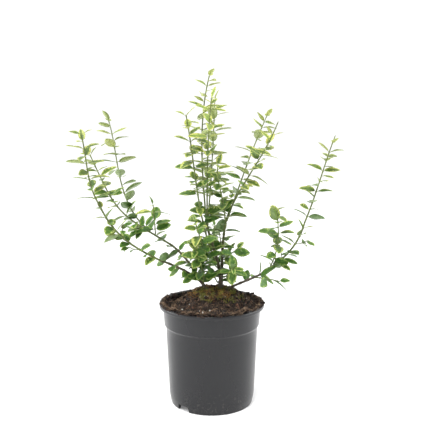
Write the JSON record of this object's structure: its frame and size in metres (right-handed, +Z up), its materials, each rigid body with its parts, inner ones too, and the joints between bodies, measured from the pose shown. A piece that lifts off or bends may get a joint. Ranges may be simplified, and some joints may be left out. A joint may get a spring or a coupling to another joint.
{
  "type": "potted evergreen shrub",
  "caption": "Young variegated evergreen shrub with thin arching leafy shoots, growing in a round black plastic nursery pot filled with peat.",
  "frame": {"origin": "middle of the pot's flat underside, on the surface that it stands on", "axes": "+Z up, +X to the plant's right as seen from its front, -Y towards its front"},
  "size_m": [0.3213, 0.2065, 0.4097],
  "materials": {
    "pot_plastic": "satin",
    "peat": "rough",
    "bark": "rough",
    "leaves": "satin"
  },
  "bodies": {
    "root": {"pot": "pot_plastic", "soil": "peat", "main_stem": "bark", "right_stem": "bark", "left_low_stem": "bark", "left_high_stem": "bark", "right_low_stem": "bark", "left_arch_leaves": "leaves", "left_arch_tip": "leaves", "left_middle_leaves": "leaves", "left_upper_leaves": "leaves", "left_spur_leaves": "leaves", "front_left_leaves": "leaves", "tallest_leaves": "leaves", "front_top_leaves": "leaves", "back_top_leaves": "leaves", "centre_short_leaves": "leaves", "right_back_leaves": "leaves", "right_front_leaves": "leaves", "right_arch_leaves": "leaves", "right_arch_tip": "leaves", "right_spur_leaves": "leaves", "low_left_leaves": "leaves", "low_front_leaves": "leaves", "low_back_leaves": "leaves", "low_right_leaves": "leaves", "right_twig_leaves": "leaves", "middle_twig_leaves": "leaves", "right_low_leaves": "leaves"}
  },
  "joints": []
}
